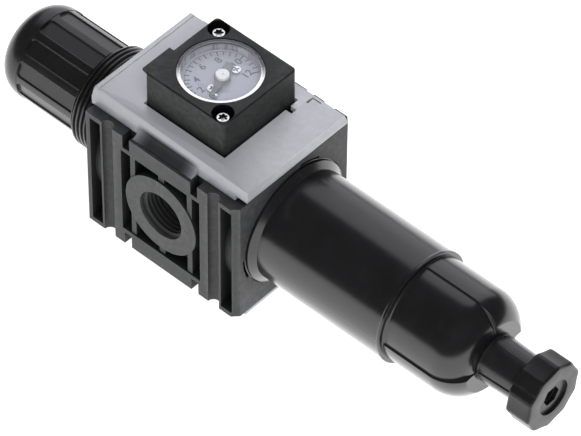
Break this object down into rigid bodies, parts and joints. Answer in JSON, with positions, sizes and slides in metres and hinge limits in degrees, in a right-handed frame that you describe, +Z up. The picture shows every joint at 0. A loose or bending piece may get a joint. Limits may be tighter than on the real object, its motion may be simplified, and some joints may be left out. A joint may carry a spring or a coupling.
{
  "type": "air pressure regulator",
  "caption": "Modular compressed-air filter-regulator with square flange gauge, ribbed adjusting knob, opaque bayonet bowl and manual drain knob.",
  "frame": {"origin": "point where the port axis crosses the adjusting axis", "axes": "+Z up the adjusting axis towards the knob, -Y towards the gauge front, -X out of the inlet port and +X out of the outlet port"},
  "size_m": [0.063, 0.0876, 0.2603],
  "materials": {
    "body_plastic": "fine-grained glass-filled polyamide, charcoal",
    "cover_plastic": "light grey satin moulding",
    "housing_plastic": "dark grey satin",
    "lens_clear": "clear moulded window",
    "dial_print": "satin silver-grey with grey scale print",
    "zinc_steel": "bright zinc plate",
    "bright_steel": "bright",
    "brass": "machined",
    "pointer_grey": "satin grey",
    "hub_white": "white satin",
    "seal_rubber": "matt",
    "knob_plastic": "black satin",
    "bonnet_plastic": "black satin",
    "steel": "plated",
    "bronze_washer": "plain",
    "plate_alloy": "die-cast",
    "spring_steel": "drawn wire",
    "guide_plastic": "natural",
    "inner_plastic": "satin",
    "filter_medium": "sintered, porous",
    "bowl_plastic": "semi-gloss black",
    "drain_plastic": "satin black"
  },
  "bodies": {
    "housing": {"body": "body_plastic", "front_cover": "cover_plastic", "rear_cover": "cover_plastic", "gauge_housing": "housing_plastic", "gauge_lens": "lens_clear", "gauge_dial": "dial_print", "dial_screws": "bright_steel", "movement_plate": "brass", "gauge_socket": "brass", "bourdon_spiral": "brass", "zero_stop": "bright_steel", "gauge_screws": "zinc_steel", "gauge_seal": "seal_rubber", "bonnet": "bonnet_plastic", "thrust_washer": "bronze_washer", "valve_seat": "brass", "valve_guide": "guide_plastic", "swirl_deflector": "inner_plastic", "filter_element": "filter_medium", "filter_baffle": "inner_plastic", "diaphragm": "seal_rubber", "valve_spring": "spring_steel"},
    "pointer": {"gauge_pointer": "pointer_grey", "pointer_hub": "hub_white", "pointer_spindle": "bright_steel"},
    "spindle": {"adjusting_spindle": "steel"},
    "knob": {"knob": "knob_plastic"},
    "spring_plate": {"spring_plate": "plate_alloy"},
    "diaphragm_plates": {"upper_plate": "steel", "lower_plate": "steel", "main_spring": "spring_steel"},
    "valve": {"valve_stem": "brass", "valve_poppet": "brass", "poppet_seal": "seal_rubber"},
    "bowl": {"bowl": "bowl_plastic", "bowl_seal": "seal_rubber", "drain_body": "drain_plastic", "drain_nut": "steel"},
    "drain_knob": {"drain_knob": "drain_plastic", "drain_clip": "zinc_steel"},
    "drain_pin": {"drain_pin": "drain_plastic", "drain_seal": "seal_rubber"}
  },
  "joints": [
    {"name": "knob_turn", "type": "hinge", "parent": "housing", "child": "spindle", "pos_m": [0, 0, 0.08], "axis": [0, 0, -1], "range_deg": [0, 1440]},
    {"name": "knob_lift", "type": "slide", "parent": "spindle", "child": "knob", "axis": [0, 0, 1], "range_m": [0, 0.0035]},
    {"name": "spring_plate_travel", "type": "slide", "parent": "housing", "child": "spring_plate", "axis": [0, 0, -1], "range_m": [0, 0.005], "deforming": ["main_spring"]},
    {"name": "diaphragm_travel", "type": "slide", "parent": "housing", "child": "diaphragm_plates", "axis": [0, 0, -1], "range_m": [0, 0.0012], "deforming": ["diaphragm"]},
    {"name": "valve_travel", "type": "slide", "parent": "housing", "child": "valve", "axis": [0, 0, -1], "range_m": [0, 0.0012], "deforming": ["valve_spring"]},
    {"name": "pointer_turn", "type": "hinge", "parent": "housing", "child": "pointer", "pos_m": [0.0003, -0.05, -0.00175], "axis": [0, 1, 0], "range_deg": [0, 236], "deforming": ["bourdon_spiral"]},
    {"name": "bowl_turn", "type": "hinge", "parent": "housing", "child": "bowl", "pos_m": [0, 0, -0.03], "axis": [0, 0, 1], "range_deg": [0, 40]},
    {"name": "drain_turn", "type": "hinge", "parent": "bowl", "child": "drain_knob", "pos_m": [0, 0, -0.155], "axis": [0, 0, -1], "range_deg": [0, 180]},
    {"name": "drain_pin_travel", "type": "slide", "parent": "drain_knob", "child": "drain_pin", "axis": [0, 0, -1], "range_m": [0, 0.0015]}
  ],
  "couplings": [
    {"joint": "knob_turn", "follows": "spring_plate_travel", "rad_per_m": 5026.5},
    {"joint": "valve_travel", "follows": "diaphragm_travel", "ratio": 1},
    {"joint": "drain_turn", "follows": "drain_pin_travel", "rad_per_m": 2094.4}
  ]
}
